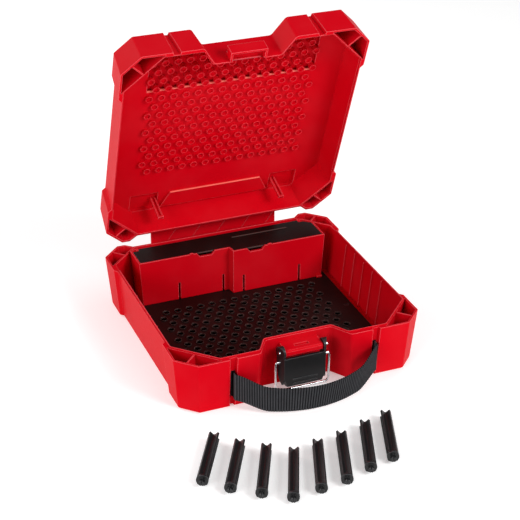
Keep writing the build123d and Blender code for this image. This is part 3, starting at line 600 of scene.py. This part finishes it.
def strap_line():
    """Centre line of the webbing, each point with its outward lean: eye, slot, bow, slot, eye."""
    right = []
    for i in range(strap_stations // 2 + 1):
        x = slot_x * sin(pi * i / strap_stations)
        bulge = strap_reach * (1 - (x / (slot_x + strap_flare)) ** 2)
        rise = max(0.0, (x / slot_x - strap_level) / strap_rising)
        lift = (slot_z - strap_rest) * rise * rise * (3 - 2 * rise)
        lean = strap_lean * cos(pi / 2 * x / slot_x)
        right.append((Vector((x, strap_front - bulge, strap_rest + lift)), lean))
    wall_y = right[-1][0].y
    for i in range(1, strap_slot_steps):
        y = wall_y + (eye_y - eye_radius - wall_y) * i / strap_slot_steps
        right.append((Vector((slot_x, y, slot_z)), 0.0))
    for i in range(eye_stations):
        angle = -pi / 2 + 2 * pi * i / eye_stations
        place = Vector((slot_x + eye_radius * cos(angle), eye_y + eye_radius * sin(angle), slot_z))
        right.append((place, 0.0))
    left = [(Vector((-place.x, place.y, place.z)), lean) for place, lean in reversed(right[1:])]
    return left + right


def webbing(name, line, width, thickness, finish):
    """A ribbed band along a line: a grid laid on it, then thickened."""
    deselect_all()
    bpy.ops.mesh.primitive_grid_add(x_subdivisions=len(line) - 1, y_subdivisions=strap_rows, size=1)
    band = bpy.context.object
    along = 0.0
    rows = []
    for i, (point, lean) in enumerate(line):
        before = line[max(i - 1, 0)][0]
        after = line[min(i + 1, len(line) - 1)][0]
        along += (point - before).length
        tangent = (after - before).normalized()
        outward = Vector((tangent.y, -tangent.x, 0)).normalized()
        rise = abs(sin(pi * along / rib_pitch))
        upward = Vector((0, 0, cos(lean))) + outward * sin(lean)
        rows.append((point + outward * rib_height * rise, upward, rise))
    ridge = band.data.attributes.new("ridge", "FLOAT", "POINT")
    for vertex in band.data.vertices:
        point, upward, rise = rows[round((vertex.co.x + 0.5) * (len(line) - 1))]
        vertex.co = point + upward * vertex.co.y * width
        ridge.data[vertex.index].value = rise
    thicken = band.modifiers.new("thickness", "SOLIDIFY")
    thicken.thickness = thickness
    thicken.offset = 0
    bpy.context.view_layer.objects.active = band
    bpy.ops.object.modifier_apply(modifier=thicken.name)
    settle(band, name, finish)
    bpy.ops.object.shade_smooth_by_angle(angle=strap_smooth)
    return band


def woven(name, thread, light):
    """Webbing: fine threads, the woven ribs' tops painted pale as a highlight mottled by fuzz and
    dust.
    """
    material, start, shader = new_finish(name, Specular_IOR_Level=strap_shine)
    place = start.node("ShaderNodeTexCoord", output="Object")
    fuzz = place.noise(fuzz_scale, 4.0)
    dust = place.noise(dust_scale, 3.0)
    bands = {"wave_type": "BANDS", "bands_direction": "Z"}
    threads = {"Vector": place, "Scale": thread_scale, "Distortion": 1.5}
    rows = start.node("ShaderNodeTexWave", bands, threads, "Fac")
    ridge = start.node("ShaderNodeAttribute", {"attribute_name": "ridge"}, output=2)
    # painted highlight: the ribs' tops are tinted pale, mottled by fuzz, threads and dust
    rib_highlight_and_fuzz = ridge.steps(0.45, 0.95) * (fuzz * 0.7 + rows * 0.2 + dust * 0.3)
    start.join(shader.inputs["Base Color"], rib_highlight_and_fuzz.tint(thread, light))
    start.join(shader.inputs["Roughness"], strap_gloss + fuzz * 0.2)
    bump = {"Strength": 0.8, "Distance": thread_depth, "Height": rows + fuzz * 0.7}
    start.join(shader.inputs["Normal"], start.node("ShaderNodeBump", inputs=bump))
    return material


thread_dark = (0.0015, 0.0015, 0.0018, 1.0)
thread_highlight_and_fuzz = (0.075, 0.075, 0.082, 1.0)
strap_cloth = woven("webbing", thread_dark, thread_highlight_and_fuzz)
strap = webbing("strap_webbing", strap_line(), strap_width, strap_thickness, strap_cloth)
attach(strap, "base")
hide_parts("carry_strap")
finish_nodes(black_nylon, "strap_bar_left", "strap_bar_right")

# ---------------------------------------------------------------------------------------------
# Pegs. Eight fluted black nylon pegs, each moulded with a collar and a split plug that grips a
# socket of the board. They lie loose in front of the case.
# ---------------------------------------------------------------------------------------------
finish_nodes(black_nylon, *[f"peg_{i}" for i in range(1, 9)])

# ---------------------------------------------------------------------------------------------
# Studio. A plain pale floor, four broad soft lights, a pale room and the camera.
# ---------------------------------------------------------------------------------------------
floor_size = 26
floor_drop = 0.0002          # the floor lies this far below what stands on it
floor_tone = (0.93, 0.93, 0.93, 1.0)
floor_glow = 0.34            # the floor is lit from within, as a light table is
room_glow = 0.30
aim = Vector((0, 0, 0.15))
camera_place = (-0.65012, -1.59321, 1.04875)
camera_turn = (61.3555, -0.3392, -22.1517)
camera_lens = 101.09

deselect_all()
bpy.ops.mesh.primitive_plane_add(size=floor_size, location=(0, 0, -floor_drop))
floor = bpy.context.object
floor.name = "floor"
floor_finish, _, floor_shader = new_finish("floor_paper", Roughness=0.9)
floor_shader.inputs["Base Color"].default_value = floor_tone
floor_shader.inputs["Emission Color"].default_value = floor_tone
floor_shader.inputs["Emission Strength"].default_value = floor_glow
floor.data.materials.append(floor_finish)


def soft_light(name, place, size, watts):
    """A broad rectangular lamp that points at the case."""
    lamp = bpy.data.lights.new(name, "AREA")
    lamp.shape = "RECTANGLE"
    lamp.size, lamp.size_y = size
    lamp.energy = watts
    light = bpy.data.objects.new(name, lamp)
    light.location = place
    light.rotation_euler = (aim - Vector(place)).to_track_quat("-Z", "Y").to_euler()
    bpy.context.collection.objects.link(light)


soft_light("overhead", place=(0.5, 0.1, 2.3), size=(1.2, 1.2), watts=6)
soft_light("front_right", place=(1.3, -1.9, 1.6), size=(1.3, 1.0), watts=48)
soft_light("front_left", place=(-2.0, -1.2, 1.0), size=(1.3, 1.0), watts=26)
soft_light("behind", place=(-1.5, 2.4, 1.4), size=(1.6, 1.2), watts=36)

world = bpy.data.worlds.new("room")
world.use_nodes = True
background = world.node_tree.nodes["Background"]
background.inputs["Color"].default_value = (1, 1, 1, 1)
background.inputs["Strength"].default_value = room_glow
bpy.context.scene.world = world
bpy.context.scene.view_settings.view_transform = "Standard"

camera_data = bpy.data.cameras.new("camera")
camera_data.lens = camera_lens
camera_data.sensor_width = 36.0
camera = bpy.data.objects.new("camera", camera_data)
camera.location = camera_place
camera.rotation_euler = [radians(turn) for turn in camera_turn]
bpy.context.collection.objects.link(camera)
bpy.context.scene.camera = camera
